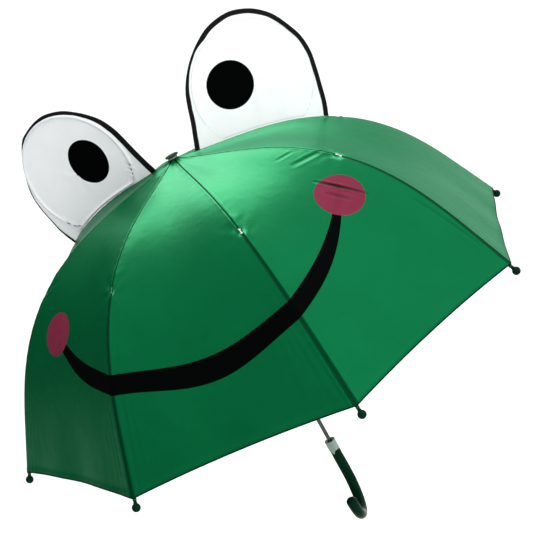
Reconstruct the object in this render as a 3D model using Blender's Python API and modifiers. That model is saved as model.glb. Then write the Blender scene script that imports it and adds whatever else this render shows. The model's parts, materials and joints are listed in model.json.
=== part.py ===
"""A children's stick umbrella, open: eight-gore canopy, stand-up eyes, ribs, stretchers, runner, crook.

Frame: metres, +Z up along the shaft, origin on the shaft's axis at the middle of the grip. The canopy's
front, between ribs 2 and 3, faces -Y. Heights written as "below the crown" are negative Z from CROWN.
"""

import math

import bmesh
import bpy
import numpy as np
from mathutils import Matrix, Vector

MM = 0.001
CROWN = 490 * MM  # height of the canopy's centre above the grip
GAP = 0.3 * MM  # between pieces that touch

# Ribs and canopy
RIB_COUNT = 8
FIRST_RIB = math.radians(-67.5)  # azimuth of rib 1, from -Y towards +X
RIB_STEP = math.tau / RIB_COUNT
SEAM_LENGTH = 481 * MM  # crown to hem corner, along a seam
CROWN_SLOPE, HEM_SLOPE = math.radians(9.8), math.radians(62.0)
BEND_START, BEND_END = 0.1427, 0.8863  # shares of the seam between which the slope steepens
CROWN_LIFT, LIFT_SPAN = math.radians(6.2), 0.1329  # extra slope where the cap pulls the fabric down
CLOTH = 0.8 * MM
HEM_SCALLOP = 0.010  # share of the seam by which the hem is cut away between two ribs
CANOPY_HOLE = 4.2 * MM
RIB_R = 1.2 * MM
RIB_DROP = 3.5 * MM  # rib's centre line below the cloth's face
JOINT_SHARE = 0.4397  # where along the seam the stretcher joint sits
RIB_END_SHARE = 0.9771  # where along the seam the ribs enter the tips
STRETCHER_DROP = 4.0 * MM  # stretcher rivet below the rib's centre line
STRETCHER_R = 1.1 * MM
PIVOT_R, PIVOT_DROP = 9 * MM, 9 * MM  # the ribs' hinges: off the axis, below the crown
EYE_R, EYE_WIDTH, EYE_HOLE = 1.8 * MM, 2.4 * MM, 1.0 * MM  # flattened ends of ribs and stretchers
SLOT_WIDTH = EYE_WIDTH + 2 * GAP
TIP_REACH, TIP_BALL_R, TIP_STEM_R = 10 * MM, 5.2 * MM, 2.1 * MM

# Shaft and its fittings
SHAFT_R, SHAFT_WALL = 2.8 * MM, 0.6 * MM
BORE_R = SHAFT_R + GAP
HUB_R = 6.2 * MM  # outside of the runner's barrel
TEETH_R = 11.5 * MM
SLOT_FLOOR_R = 6.6 * MM
CAP_R, CAP_BOTTOM, CAP_TOP = 9 * MM, 2.6 * MM, 4.1 * MM
RUNNER_RING, RUNNER_BARREL = 9 * MM, 30 * MM
SPRING_AZIMUTH = math.radians(157.5)
SPRING_PROUD, SPRING_LENGTH, SPRING_WIDTH = 2.4 * MM, 18 * MM, 1.8 * MM
PIN_R = 1.0 * MM

# Handle
COLLAR_TOP, COLLAR_BOTTOM = CROWN - 453 * MM, CROWN - 468 * MM
COLLAR_R, COLLAR_BORE_R = 7.7 * MM, 5.7 * MM
HANDLE_R, NECK_R = 7.3 * MM, 5.4 * MM
HOOK_START = CROWN - 509 * MM
HOOK_R, HOOK_DEPTH, HOOK_END = 41.5 * MM, 39.5 * MM, 5 * MM
HOOK_AZIMUTH = math.radians(6)
SHAFT_END = CROWN - 500 * MM

# Stand-up eyes: the rib, the stretch of the seam below the eye, the outline from its inner to its outer foot and
# the hoop's middle and half axes, as millimetres off the axis and above the crown
EYES = {
    "right": (
        5,
        (0.0636, 0.449),
        ((34, 5), (42, 27), (49, 50), (55, 65), (65, 81), (80, 98), (100, 113.5), (122, 124), (149, 127))
        + ((170, 121.5), (188, 111), (204, 94.5), (217, 70), (223.5, 52), (225.6, 30), (223, 9), (218.5, -15))
        + ((213.4, -39),),
        (138, 31.5, 81.5, 82),
    ),
    "left": (
        8,
        (0.0723, 0.49),
        ((41.7, 10), (49.3, 30.5), (56.2, 50.7), (62, 64), (73, 80), (89, 93), (105, 102.3), (126, 111))
        + ((153, 114.5), (175, 111), (196, 103), (213, 92.6), (230.8, 68), (241, 46), (248, 22), (247.8, -1))
        + ((242.1, -24.3), (236.2, -44.4)),
        (153.5, 24, 88, 83),
    ),
}
EYE_THICKNESS = 1.6 * MM
HOOP_R, HOOP_LIFT = 0.7 * MM, 3 * MM  # the hoop's wire, and how far it stays above the seam

STRAP_RIB, STRAP_SPAN, STRAP_WIDTH = 7, (0.76, 0.975), 16 * MM

GREEN_SATIN = ("green_satin", (0.02, 0.17, 0.085), 0.42, 0.0)
GREEN_PLASTIC = ("green_plastic", (0.005, 0.05, 0.022), 0.3, 0.0)
PALE_PLASTIC = ("pale_plastic", (0.42, 0.52, 0.46), 0.35, 0.0)
BLACK_PLASTIC = ("black_plastic", (0.015, 0.016, 0.016), 0.4, 0.0)
STEEL = ("steel", (0.42, 0.44, 0.43), 0.3, 1.0)
DARK_STEEL = ("dark_steel", (0.05, 0.055, 0.055), 0.35, 0.9)
WHITE_CLOTH = ("white_cloth", (0.9, 0.92, 0.93), 0.7, 0.0)


# ---- Scene, materials and small helpers ----

for old in list(bpy.data.objects):
    bpy.data.objects.remove(old, do_unlink=True)
UMBRELLA = bpy.data.collections.new("umbrella")
CUTTERS = bpy.data.collections.new("cutters")
for collection in (UMBRELLA, CUTTERS):
    bpy.context.scene.collection.children.link(collection)


def material(name, colour, roughness, metallic):
    made = bpy.data.materials.get(name) or bpy.data.materials.new(name)
    made.use_nodes = True
    shader = made.node_tree.nodes["Principled BSDF"]
    shader.inputs["Base Color"].default_value = (*colour, 1)
    shader.inputs["Roughness"].default_value = roughness
    shader.inputs["Metallic"].default_value = metallic
    return made


def finish(obj, look):
    """Puts a piece in the umbrella's collection with its material."""
    for holder in list(obj.users_collection):
        holder.objects.unlink(obj)
    UMBRELLA.objects.link(obj)
    if not obj.data.materials:
        obj.data.materials.append(material(*look))
    obj.hide_render = False
    obj.display_type = "TEXTURED"
    return obj


def helper(name, mesh, matrix=None):
    """An object that only cuts or joins."""
    obj = bpy.data.objects.new(name, mesh)
    obj.matrix_world = matrix or Matrix()
    obj.hide_render = True
    obj.display_type = "WIRE"
    CUTTERS.objects.link(obj)
    return obj


def box(name, low, high, matrix=None):
    mesh = bpy.data.meshes.new(name)
    shape = bmesh.new()
    size = Vector(high) - Vector(low)
    middle = (Vector(high) + Vector(low)) / 2
    place = Matrix.Translation(middle) @ Matrix.Diagonal((*size, 1))
    bmesh.ops.create_cube(shape, size=1, matrix=place)
    shape.to_mesh(mesh)
    shape.free()
    return helper(name, mesh, matrix)


def cylinder(name, radius, length, matrix=None, segments=20):
    """A cylinder along its own Z, centred."""
    mesh = bpy.data.meshes.new(name)
    shape = bmesh.new()
    bmesh.ops.create_cone(
        shape, cap_ends=True, segments=segments, radius1=radius, radius2=radius, depth=length
    )
    shape.to_mesh(mesh)
    shape.free()
    return helper(name, mesh, matrix)


def turned(name, profile, steps=24, matrix=None):
    """A profile of (radius, height) points turned about Z. It runs down the outer side."""
    mesh = bpy.data.meshes.new(name)
    corners = [(radius, 0, height) for radius, height in profile]
    edges = [(i, i + 1) for i in range(len(corners) - 1)]
    if profile[0][0] > 0:
        edges.append((len(corners) - 1, 0))
    mesh.from_pydata(corners, edges, [])
    obj = helper(name, mesh, matrix)
    screw = obj.modifiers.new("turn", "SCREW")
    screw.steps = screw.render_steps = steps
    screw.use_merge_vertices = True
    screw.merge_threshold = 0.00001
    return obj


def curve_mesh(obj):
    """The closed mesh of a curve object, in world space. The curve is removed."""
    bpy.context.view_layer.update()
    mesh = bpy.data.meshes.new_from_object(obj.evaluated_get(bpy.context.evaluated_depsgraph_get()))
    mesh.transform(obj.matrix_world)
    shape = bmesh.new()
    shape.from_mesh(mesh)
    bmesh.ops.remove_doubles(shape, verts=shape.verts, dist=0.000001)
    bmesh.ops.recalc_face_normals(shape, faces=shape.faces)
    shape.to_mesh(mesh)
    shape.free()
    curve = obj.data
    bpy.data.objects.remove(obj)
    bpy.data.curves.remove(curve)
    return mesh


def wire(name, points, radius, resolution=2, closed=False):
    """A round wire through the points, as a mesh."""
    curve = bpy.data.curves.new(name, "CURVE")
    curve.dimensions = "3D"
    curve.bevel_depth = radius
    curve.bevel_resolution = resolution
    curve.use_fill_caps = True
    spline = curve.splines.new("POLY")
    spline.use_cyclic_u = closed
    spline.points.add(len(points) - 1)
    for point, place in zip(spline.points, points):
        point.co = (*place, 1)
    obj = bpy.data.objects.new(name, curve)
    CUTTERS.objects.link(obj)
    return curve_mesh(obj)


def plate(name, outline, thickness, matrix):
    """A flat outline in the object's XY plane, thickened both ways, as a mesh in world space."""
    curve = bpy.data.curves.new(name, "CURVE")
    curve.dimensions = "2D"
    curve.fill_mode = "BOTH"
    curve.extrude = thickness / 2
    spline = curve.splines.new("POLY")
    spline.points.add(len(outline) - 1)
    for point, (x, y) in zip(spline.points, outline):
        point.co = (x, y, 0, 1)
    spline.use_cyclic_u = True
    obj = bpy.data.objects.new(name, curve)
    obj.matrix_world = matrix
    CUTTERS.objects.link(obj)
    return curve_mesh(obj)


def combine(obj, others, operation):
    """Adds a Boolean modifier for each of the others."""
    for other in others:
        boolean = obj.modifiers.new(other.name, "BOOLEAN")
        boolean.operation = operation
        boolean.solver = "EXACT"
        boolean.object = other
    return obj


def baked(obj, used=()):
    """The evaluated mesh in world space. The object and the helpers that it used are removed."""
    bpy.context.view_layer.update()
    mesh = bpy.data.meshes.new_from_object(obj.evaluated_get(bpy.context.evaluated_depsgraph_get()))
    mesh.transform(obj.matrix_world)
    for old in (obj, *used):
        bpy.data.objects.remove(old)
    return mesh


def smooth(mesh, angle=40):
    mesh.shade_smooth()
    mesh.set_sharp_from_angle(angle=math.radians(angle))
    return mesh


def azimuth(rib):
    return FIRST_RIB + (rib - 1) * RIB_STEP


def radial(angle):
    """The rotation that turns the drawing plane (X outward, Z up) to an azimuth."""
    return Matrix.Rotation(angle - math.pi / 2, 4, "Z")


def placed(name, mesh, angle, pivot, look):
    """One copy of a mesh that is drawn about its pivot in the XZ plane."""
    obj = bpy.data.objects.new(name, mesh)
    turn = radial(angle)
    obj.matrix_world = turn @ Matrix.Translation(pivot)
    return finish(obj, look)


def about(mesh, pivot):
    mesh.transform(Matrix.Translation(-pivot))
    return mesh


# ---- The seam curve, which ribs, canopy, eyes and strap all follow ----

SHARES = np.linspace(0, 1, 1001)
_bend = np.clip((SHARES - BEND_START) / (BEND_END - BEND_START), 0, 1)
SLOPES = CROWN_SLOPE + (HEM_SLOPE - CROWN_SLOPE) * _bend**2 * (3 - 2 * _bend)
SLOPES = SLOPES + CROWN_LIFT * np.clip(1 - SHARES / LIFT_SPAN, 0, 1) ** 2
_step = SEAM_LENGTH / (len(SHARES) - 1)
_middle = (SLOPES[1:] + SLOPES[:-1]) / 2
SEAM_R = np.concatenate([[0], np.cumsum(np.cos(_middle) * _step)])
SEAM_Z = CROWN - np.concatenate([[0], np.cumsum(np.sin(_middle) * _step)])


def slope(share):
    """Angle of the seam below the horizontal, in radians."""
    return float(np.interp(share, SHARES, SLOPES))


def seam(share, lift=0.0):
    """A point of the drawing plane on the seam, or that far outside it along its normal."""
    angle = slope(share)
    x = float(np.interp(share, SHARES, SEAM_R)) + lift * math.sin(angle)
    z = float(np.interp(share, SHARES, SEAM_Z)) + lift * math.cos(angle)
    return Vector((x, 0, z))


NOTCH_PIVOT = Vector((PIVOT_R, 0, CROWN - PIVOT_DROP))
FLEX_PIVOT = seam(JOINT_SHARE, -RIB_DROP)
JOINT_PIVOT = seam(JOINT_SHARE, -RIB_DROP - STRETCHER_DROP)
RUNNER_PIVOT = Vector((PIVOT_R, 0, 2 * JOINT_PIVOT.z - NOTCH_PIVOT.z))
AT_JOINT = Matrix.Translation(FLEX_PIVOT) @ Matrix.Rotation(slope(JOINT_SHARE), 4, "Y")
RIB_END = seam(RIB_END_SHARE, -RIB_DROP)
TIP_CENTRE = seam(1, -RIB_DROP - 0.2 * MM) + TIP_REACH * Vector((math.cos(slope(1)), 0, -math.sin(slope(1))))
ALONG_TIP = (TIP_CENTRE - RIB_END).normalized()
ACROSS = Matrix.Rotation(math.pi / 2, 4, "X")  # turns a cylinder's axis from Z to Y


# ---- Ribs, stretchers and tips ----


def make_inner_ribs():
    share = np.linspace(0.06, JOINT_SHARE - 0.008, 7)
    line = [NOTCH_PIVOT + Vector((1.0 * MM, 0, 0))] + [seam(s, -RIB_DROP) for s in share]
    rod = helper("rib_rod", wire("rib_rod", line, RIB_R))
    eye = cylinder("rib_eye", EYE_R, EYE_WIDTH, Matrix.Translation(NOTCH_PIVOT) @ ACROSS, 10)
    half = SLOT_WIDTH / 2
    wall = 0.7 * MM
    side = half + 0.8 * wall
    block = box("clip_block", (-9 * MM, -side, -2.2 * MM), (-2.7 * MM, side, 1.2 * MM), AT_JOINT)
    rivet_at = AT_JOINT @ Matrix.Translation((0, 0, -STRETCHER_DROP)) @ ACROSS
    rivet = cylinder("clip_rivet", 0.8 * MM, 2 * (half + wall) + 0.9 * MM, rivet_at, 8)
    ears = []
    for name, hand in (("clip_ear_a", -1), ("clip_ear_b", 1)):
        low, high = sorted((hand * half, hand * (half + wall)))
        ears.append(box(name, (-4.2 * MM, low, -6.3 * MM), (2.4 * MM, high, 1.3 * MM), AT_JOINT))
    hole = cylinder("rib_hole", EYE_HOLE, 2 * EYE_WIDTH, Matrix.Translation(NOTCH_PIVOT) @ ACROSS, 8)
    joined = [eye, block, *ears, rivet]
    combine(rod, joined, "UNION")
    combine(rod, [hole], "DIFFERENCE")
    mesh = smooth(about(baked(rod, (*joined, hole)), NOTCH_PIVOT))
    for rib in range(1, RIB_COUNT + 1):
        placed(f"rib_{rib}", mesh, azimuth(rib), NOTCH_PIVOT, DARK_STEEL)


def make_outer_ribs():
    start = FLEX_PIVOT - (AT_JOINT.to_3x3() @ Vector((0.9 * MM, 0, 0)))
    line = [start] + [seam(s, -RIB_DROP) for s in np.linspace(JOINT_SHARE + 0.04, 0.92, 8)]
    line += [RIB_END, RIB_END + ALONG_TIP * 12.5 * MM]
    mesh = smooth(about(wire("outer_rib", line, RIB_R), FLEX_PIVOT))
    for rib in range(1, RIB_COUNT + 1):
        placed(f"outer_rib_{rib}", mesh, azimuth(rib), FLEX_PIVOT, DARK_STEEL)


def make_stretchers():
    ends = (JOINT_PIVOT, RUNNER_PIVOT)
    along = (ends[1] - ends[0]).normalized()
    line = [ends[0] + along * MM, ends[1] - along * MM]
    rod = helper("stretcher_rod", wire("stretcher_rod", line, STRETCHER_R))
    places = [Matrix.Translation(end) @ ACROSS for end in ends]
    eyes = [cylinder("stretcher_eye", EYE_R + 0.2 * MM, EYE_WIDTH, places[0], 10)]
    eyes.append(cylinder("stretcher_foot", EYE_R, EYE_WIDTH, places[1], 10))
    hole_r = EYE_HOLE + 0.1 * MM
    holes = [cylinder("stretcher_hole", hole_r, 2 * EYE_WIDTH, place, 8) for place in places]
    combine(rod, eyes, "UNION")
    combine(rod, holes, "DIFFERENCE")
    mesh = smooth(about(baked(rod, (*eyes, *holes)), JOINT_PIVOT))
    for rib in range(1, RIB_COUNT + 1):
        placed(f"stretcher_{rib}", mesh, azimuth(rib), JOINT_PIVOT, DARK_STEEL)


def make_tips():
    """Ball tips: each is a ball on a stem, with a blind hole for the rib's end."""
    reach = (TIP_CENTRE - RIB_END).length
    neck = math.asin(TIP_STEM_R / TIP_BALL_R)
    turns = np.linspace(0, math.pi - neck, 6)
    ball = [(TIP_BALL_R * math.sin(t), reach + TIP_BALL_R * math.cos(t)) for t in turns]
    ball[0] = (0, ball[0][1])
    root, hole_r, hole_end = 1.2 * MM, RIB_R + GAP, 13 * MM
    profile = ball + [(TIP_STEM_R, root), (hole_r, root), (hole_r, hole_end), (0, hole_end)]
    aim = Matrix.Translation(RIB_END) @ ALONG_TIP.to_track_quat("Z", "Y").to_matrix().to_4x4()
    mesh = smooth(about(baked(turned("tip", profile, 10, aim)), FLEX_PIVOT), 50)
    for rib in range(1, RIB_COUNT + 1):
        placed(f"tip_{rib}", mesh, azimuth(rib), FLEX_PIVOT, GREEN_PLASTIC)


# ---- Canopy, eyes and strap ----


def canopy_point(share, across):
    """A point of the canopy round the drawing plane's rib: across is -0.5 to 0.5, mid gore to mid gore."""
    cut = HEM_SCALLOP * 4 * abs(across) * (1 - abs(across))
    share = min(share, 1.0) * (1 - cut)
    ridge = seam(share)
    if across == 0:
        return ridge
    side = math.copysign(1, across)
    other = Matrix.Rotation(side * RIB_STEP, 3, "Z") @ ridge
    point = ridge.lerp(other, abs(across))
    if abs(across) < 0.5:
        return point
    return point - (other - ridge).normalized() * GAP / 2


def sheet_mesh(name, rows, columns, place):
    """A grid bent to place(u, v), where u and v run from 0 to 1, and thickened inwards."""
    mesh = bpy.data.meshes.new(name)
    shape = bmesh.new()
    bmesh.ops.create_grid(shape, x_segments=columns, y_segments=rows, size=0.5)
    for corner in shape.verts:
        corner.co = place(corner.co.x + 0.5, corner.co.y + 0.5)
    shape.to_mesh(mesh)
    shape.free()
    obj = helper(name, mesh)
    shell = obj.modifiers.new("thickness", "SOLIDIFY")
    shell.thickness = CLOTH
    shell.offset = -1
    shell.use_even_offset = True
    return baked(obj)


def make_canopy():
    first = CANOPY_HOLE / SEAM_LENGTH
    mesh = sheet_mesh(
        "canopy", 14, 4, lambda u, v: canopy_point(first + (1 - first) * (1 - v), u - 0.5)
    )
    about(smooth(mesh, 60), NOTCH_PIVOT)
    for rib in range(1, RIB_COUNT + 1):
        placed(f"canopy_{rib}", mesh, azimuth(rib), NOTCH_PIVOT, GREEN_SATIN)


def hoop_line(middle_x, middle_z, half_x, half_z):
    """The hoop's closed loop in the drawing plane: an ellipse that the seam flattens from below."""
    line = []
    for turn in np.linspace(0, math.tau, 40, endpoint=False):
        x = (middle_x + half_x * math.cos(turn)) * MM
        z = CROWN + (middle_z + half_z * math.sin(turn)) * MM
        line.append(Vector((x, 0, max(z, float(np.interp(x, SEAM_R, SEAM_Z)) + HOOP_LIFT))))
    return line


def make_eyes():
    for side, (rib, (inner, outer), outline, hoop) in EYES.items():
        base = [seam(s, 0.4 * MM) for s in np.linspace(outer, inner, 9)]
        corners = [(x * MM, CROWN + z * MM) for x, z in outline] + [(p.x, p.z) for p in base]
        mesh = smooth(about(plate("eye", corners, EYE_THICKNESS, ACROSS), NOTCH_PIVOT))
        placed(f"eye_{side}", mesh, azimuth(rib), NOTCH_PIVOT, WHITE_CLOTH)
        behind = Vector((0, EYE_THICKNESS / 2 + GAP + HOOP_R, 0))
        ring = wire("hoop", [point + behind for point in hoop_line(*hoop)], HOOP_R, 2, True)
        placed(f"eye_hoop_{side}", smooth(about(ring, NOTCH_PIVOT)), azimuth(rib), NOTCH_PIVOT, STEEL)


def make_strap():
    low, high = STRAP_SPAN

    def place(u, v):
        point = seam(high + (low - high) * v, CLOTH + GAP)
        return point + Vector((0, (u - 0.5) * STRAP_WIDTH, 0))

    mesh = about(sheet_mesh("strap", 8, 2, place), FLEX_PIVOT)
    placed("tie_strap", smooth(mesh), azimuth(STRAP_RIB), FLEX_PIVOT, GREEN_SATIN)
    share = high - 0.02
    at = Matrix.Translation(seam(share, CLOTH + 2 * GAP)) @ Matrix.Rotation(slope(share), 4, "Y")
    profile = [(0, 1.8 * MM), (2.5 * MM, 1.8 * MM), (4.5 * MM, 1.2 * MM), (5 * MM, 0), (0, 0)]
    snap = smooth(about(baked(turned("snap", profile, 16, at)), FLEX_PIVOT))
    placed("strap_snap", snap, azimuth(STRAP_RIB), FLEX_PIVOT, BLACK_PLASTIC)


# ---- Crown, shaft and runner ----


def slots(name, floor, low, high):
    """Eight radial slots, one at each rib, as cutters."""
    corner = Vector((floor, -SLOT_WIDTH / 2, low))
    other = Vector((TEETH_R + 3 * MM, SLOT_WIDTH / 2, high))
    ribs = range(1, RIB_COUNT + 1)
    return [box(f"{name}_slot_{rib}", corner, other, radial(azimuth(rib))) for rib in ribs]


def tube(name, outer, inner, low, high, steps=24):
    return turned(name, [(outer, high), (outer, low), (inner, low), (inner, high)], steps)


def make_crown():
    notch_top, notch_bottom = CROWN - 5.6 * MM, CROWN - 14 * MM
    notch = tube("notch", TEETH_R, BORE_R, notch_bottom, notch_top)
    combine(notch, slots("notch", SLOT_FLOOR_R, notch_bottom - MM, notch_top - 1 * MM), "DIFFERENCE")
    height = CROWN - PIVOT_DROP
    groove = tube("notch_groove", TEETH_R + MM, PIVOT_R - MM, height - MM, height + MM)
    finish(combine(notch, [groove], "DIFFERENCE"), BLACK_PLASTIC)
    bpy.ops.mesh.primitive_torus_add(
        major_radius=PIVOT_R,
        minor_radius=0.6 * MM,
        major_segments=24,
        minor_segments=6,
        location=(0, 0, height),
    )
    ring = bpy.context.object
    ring.name = "notch_wire"
    smooth(ring.data)
    finish(ring, STEEL)
    washer_top = CROWN - 4.5 * MM
    finish(tube("canopy_washer", 10 * MM, BORE_R, washer_top - 0.8 * MM, washer_top), GREEN_SATIN)
    finish(tube("spacer_ring", 6.5 * MM, BORE_R, CROWN - 0.4 * MM, CROWN + 2.3 * MM), PALE_PLASTIC)
    bottom, top = CROWN + CAP_BOTTOM, CROWN + CAP_TOP
    edge, chamfer, floor = 0.6 * MM, 0.3 * MM, top - 0.7 * MM
    profile = [(0, top), (CAP_R - edge, top), (CAP_R, top - edge), (CAP_R, bottom + chamfer)]
    profile += [(CAP_R - chamfer, bottom), (BORE_R, bottom), (BORE_R, floor), (0, floor)]
    finish(turned("top_cap", profile, 24), GREEN_PLASTIC)


RUNNER_LOW = RUNNER_PIVOT.z - RUNNER_RING / 2 - RUNNER_BARREL
RUNNER_TOP = RUNNER_PIVOT.z + RUNNER_RING / 2
CLOSED_CHORD = math.radians(86.8)  # slope of the line from notch pivot to stretcher joint when closed
CHORD = (JOINT_PIVOT - NOTCH_PIVOT).length
TRAVEL = RUNNER_PIVOT.z - (NOTCH_PIVOT.z - 2 * CHORD * math.sin(CLOSED_CHORD))
TOP_SPRING_STEP = RUNNER_LOW - 0.8 * MM
BOTTOM_SPRING_STEP = RUNNER_TOP - TRAVEL + 0.8 * MM
STOP_PIN_Z = RUNNER_TOP + PIN_R + 0.5 * MM
HANDLE_PIN_Z = CROWN - 484 * MM


def make_shaft():
    shaft = tube("shaft", SHAFT_R, SHAFT_R - SHAFT_WALL, SHAFT_END, CROWN + 3.1 * MM, 20)
    half = SPRING_WIDTH / 2 + GAP
    cuts = []
    for name, low in (
        ("top_spring_slot", TOP_SPRING_STEP - SPRING_LENGTH),
        ("bottom_spring_slot", BOTTOM_SPRING_STEP),
    ):
        corner, other = (MM, -half, low - GAP), (2 * SHAFT_R, half, low + SPRING_LENGTH + GAP)
        cuts.append(box(name, corner, other, radial(SPRING_AZIMUTH)))
    pins = (("stop_pin_hole", STOP_PIN_Z, 0), ("handle_pin_hole", HANDLE_PIN_Z, HOOK_AZIMUTH))
    for name, height, turn in pins:
        at = Matrix.Translation((0, 0, height)) @ radial(turn) @ ACROSS
        cuts.append(cylinder(name, PIN_R + GAP, 4 * SHAFT_R, at, 14))
    finish(combine(shaft, cuts, "DIFFERENCE"), STEEL)


def make_springs():
    """Catches that step out of the shaft: a flange inside the tube, and a wedge through its slot."""
    inside, outside = SHAFT_R - SHAFT_WALL - 1.3 * MM, SHAFT_R + SPRING_PROUD
    flange = SHAFT_R - SHAFT_WALL - 0.5 * MM
    over = 3 * MM
    springs = (("top_spring", TOP_SPRING_STEP, -1), ("bottom_spring", BOTTOM_SPRING_STEP, 1))
    for name, step, way in springs:
        heights = (-over, 0, 0, SPRING_LENGTH, SPRING_LENGTH, SPRING_LENGTH + over)
        radii = (flange, flange, outside, SHAFT_R - 0.2 * MM, flange, flange)
        outline = [(r, step + way * h) for r, h in zip(radii, heights)]
        outline += [(inside, outline[-1][1]), (inside, outline[0][1])]
        mesh = plate(name, outline, SPRING_WIDTH, ACROSS)
        pivot = Vector((outside, 0, step))
        placed(name, about(mesh, pivot), SPRING_AZIMUTH, pivot, STEEL)


def make_runner():
    bead = 0.5 * MM
    high, ring_low, low = RUNNER_TOP, RUNNER_TOP - RUNNER_RING, RUNNER_LOW
    profile = [(TEETH_R, high), (TEETH_R, ring_low), (HUB_R, ring_low), (HUB_R, low + 4 * MM)]
    profile += [(HUB_R + bead, low + 3 * MM), (HUB_R + bead, low + MM), (HUB_R, low)]
    profile += [(BORE_R, low), (BORE_R, high)]
    runner = turned("runner", profile)
    half = SPRING_WIDTH / 2 + 2 * GAP
    corner, other = (0, -half, low - MM), (SLOT_FLOOR_R + 0.2 * MM, half, high + MM)
    keyway = box("keyway", corner, other, radial(SPRING_AZIMUTH))
    cuts = [*slots("runner", SLOT_FLOOR_R, ring_low - 0.0005 * MM, high + MM), keyway]
    finish(combine(runner, cuts, "DIFFERENCE"), BLACK_PLASTIC)


def make_pins():
    for name, height, turn, length in (
        ("stop_pin", STOP_PIN_Z, 0, 9 * MM),
        ("handle_pin", HANDLE_PIN_Z, HOOK_AZIMUTH, 14.2 * MM),
    ):
        at = Matrix.Translation((0, 0, height)) @ radial(turn) @ ACROSS
        pin = cylinder(name, PIN_R, length, at, 14)
        smooth(pin.data)
        finish(pin, STEEL)


# ---- Handle and collar ----


def make_handle():
    shoulder = COLLAR_BOTTOM - GAP
    line = [(0, 0, shoulder)] + [(0, 0, z) for z in np.linspace(shoulder - 12 * MM, HOOK_START, 3)]
    for turn in np.linspace(0, math.pi, 13)[1:]:
        line.append((HOOK_R * (1 - math.cos(turn)), 0, HOOK_START - HOOK_DEPTH * math.sin(turn)))
    line.append((2 * HOOK_R, 0, HOOK_START + HOOK_END))
    turn = radial(HOOK_AZIMUTH)
    mesh = wire("handle", [turn @ Vector(point) for point in line], HANDLE_R, 3)
    handle = helper("handle", smooth(mesh, 50))
    neck_top = COLLAR_TOP - 6 * MM
    neck = cylinder("neck", NECK_R, 2 * (neck_top - shoulder), Matrix.Translation((0, 0, shoulder)), 24)
    combine(handle, [neck], "UNION")
    length = neck_top - SHAFT_END + 2 * MM
    bore_at = Matrix.Translation((0, 0, SHAFT_END - MM + length / 2))
    bore = cylinder("handle_bore", BORE_R, length, bore_at, 24)
    at = Matrix.Translation((0, 0, HANDLE_PIN_Z)) @ turn @ ACROSS
    hole = cylinder("handle_cross_hole", PIN_R + GAP, 4 * HANDLE_R, at, 14)
    finish(combine(handle, [bore, hole], "DIFFERENCE"), GREEN_PLASTIC)


def make_collar():
    lip = 0.6 * MM
    profile = [
        (COLLAR_R - lip, COLLAR_TOP),
        (COLLAR_R, COLLAR_TOP - lip),
        (COLLAR_R, COLLAR_BOTTOM),
        (COLLAR_BORE_R, COLLAR_BOTTOM),
        (COLLAR_BORE_R, COLLAR_TOP),
    ]
    finish(turned("collar", profile, 28), PALE_PLASTIC)


make_inner_ribs()
make_outer_ribs()
make_stretchers()
make_tips()
make_canopy()
make_eyes()
make_strap()
make_crown()
make_shaft()
make_springs()
make_runner()
make_pins()
make_handle()
make_collar()
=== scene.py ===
"""Looks of a children's umbrella: a satin canopy in one continuous surface, fabric eyes, plastic and steel.

Metres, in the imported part's frame: +Z up the shaft, the canopy's front faces -Y. Names that end in _MM and
the cloth's relief are in millimetres. The cloth follows the seam curve that the CAD canopy has; each gore is
cut along its middle and at the stretcher joints, so that every part of it can ride and fold with its own rib.
"""

import json
import math

import bmesh
import bpy
import numpy as np
from mathutils import Matrix, Vector

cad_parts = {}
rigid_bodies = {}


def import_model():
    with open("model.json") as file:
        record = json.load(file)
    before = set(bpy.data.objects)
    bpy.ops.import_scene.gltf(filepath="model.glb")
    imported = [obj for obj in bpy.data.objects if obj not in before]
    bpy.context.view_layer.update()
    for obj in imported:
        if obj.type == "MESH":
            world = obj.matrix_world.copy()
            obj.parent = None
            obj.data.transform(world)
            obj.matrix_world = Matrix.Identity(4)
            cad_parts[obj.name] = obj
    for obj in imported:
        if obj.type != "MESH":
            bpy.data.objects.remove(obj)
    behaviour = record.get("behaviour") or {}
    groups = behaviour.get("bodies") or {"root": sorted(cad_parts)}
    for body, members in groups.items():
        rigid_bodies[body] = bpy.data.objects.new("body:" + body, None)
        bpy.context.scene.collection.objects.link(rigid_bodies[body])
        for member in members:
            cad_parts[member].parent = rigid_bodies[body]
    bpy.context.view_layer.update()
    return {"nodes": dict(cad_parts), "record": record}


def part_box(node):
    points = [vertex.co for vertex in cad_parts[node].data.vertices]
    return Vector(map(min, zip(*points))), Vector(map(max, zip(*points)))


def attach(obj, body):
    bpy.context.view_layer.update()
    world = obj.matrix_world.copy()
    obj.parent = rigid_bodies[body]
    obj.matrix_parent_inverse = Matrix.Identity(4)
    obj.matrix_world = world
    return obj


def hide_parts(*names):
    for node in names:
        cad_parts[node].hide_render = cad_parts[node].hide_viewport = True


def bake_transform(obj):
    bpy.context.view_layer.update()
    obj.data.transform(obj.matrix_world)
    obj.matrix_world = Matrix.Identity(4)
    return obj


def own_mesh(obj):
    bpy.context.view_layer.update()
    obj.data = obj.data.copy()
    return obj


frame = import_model()

MM = 0.001

# The seam curve, as the CAD canopy has it
RIB_COUNT, FIRST_RIB = 8, math.radians(-67.5)
RIB_STEP, RIBS = math.tau / RIB_COUNT, range(1, RIB_COUNT + 1)
SEAM_LENGTH = 0.481
SEAM_MM = SEAM_LENGTH / MM
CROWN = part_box("top_cap")[0].z - 2.6 * MM
CROWN_SLOPE, HEM_SLOPE = math.radians(9.8), math.radians(62.0)
BEND_START, BEND_END = 0.1427, 0.8863
CROWN_LIFT, LIFT_SPAN = math.radians(6.2), 0.1329
HEM_SCALLOP = 0.010

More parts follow.
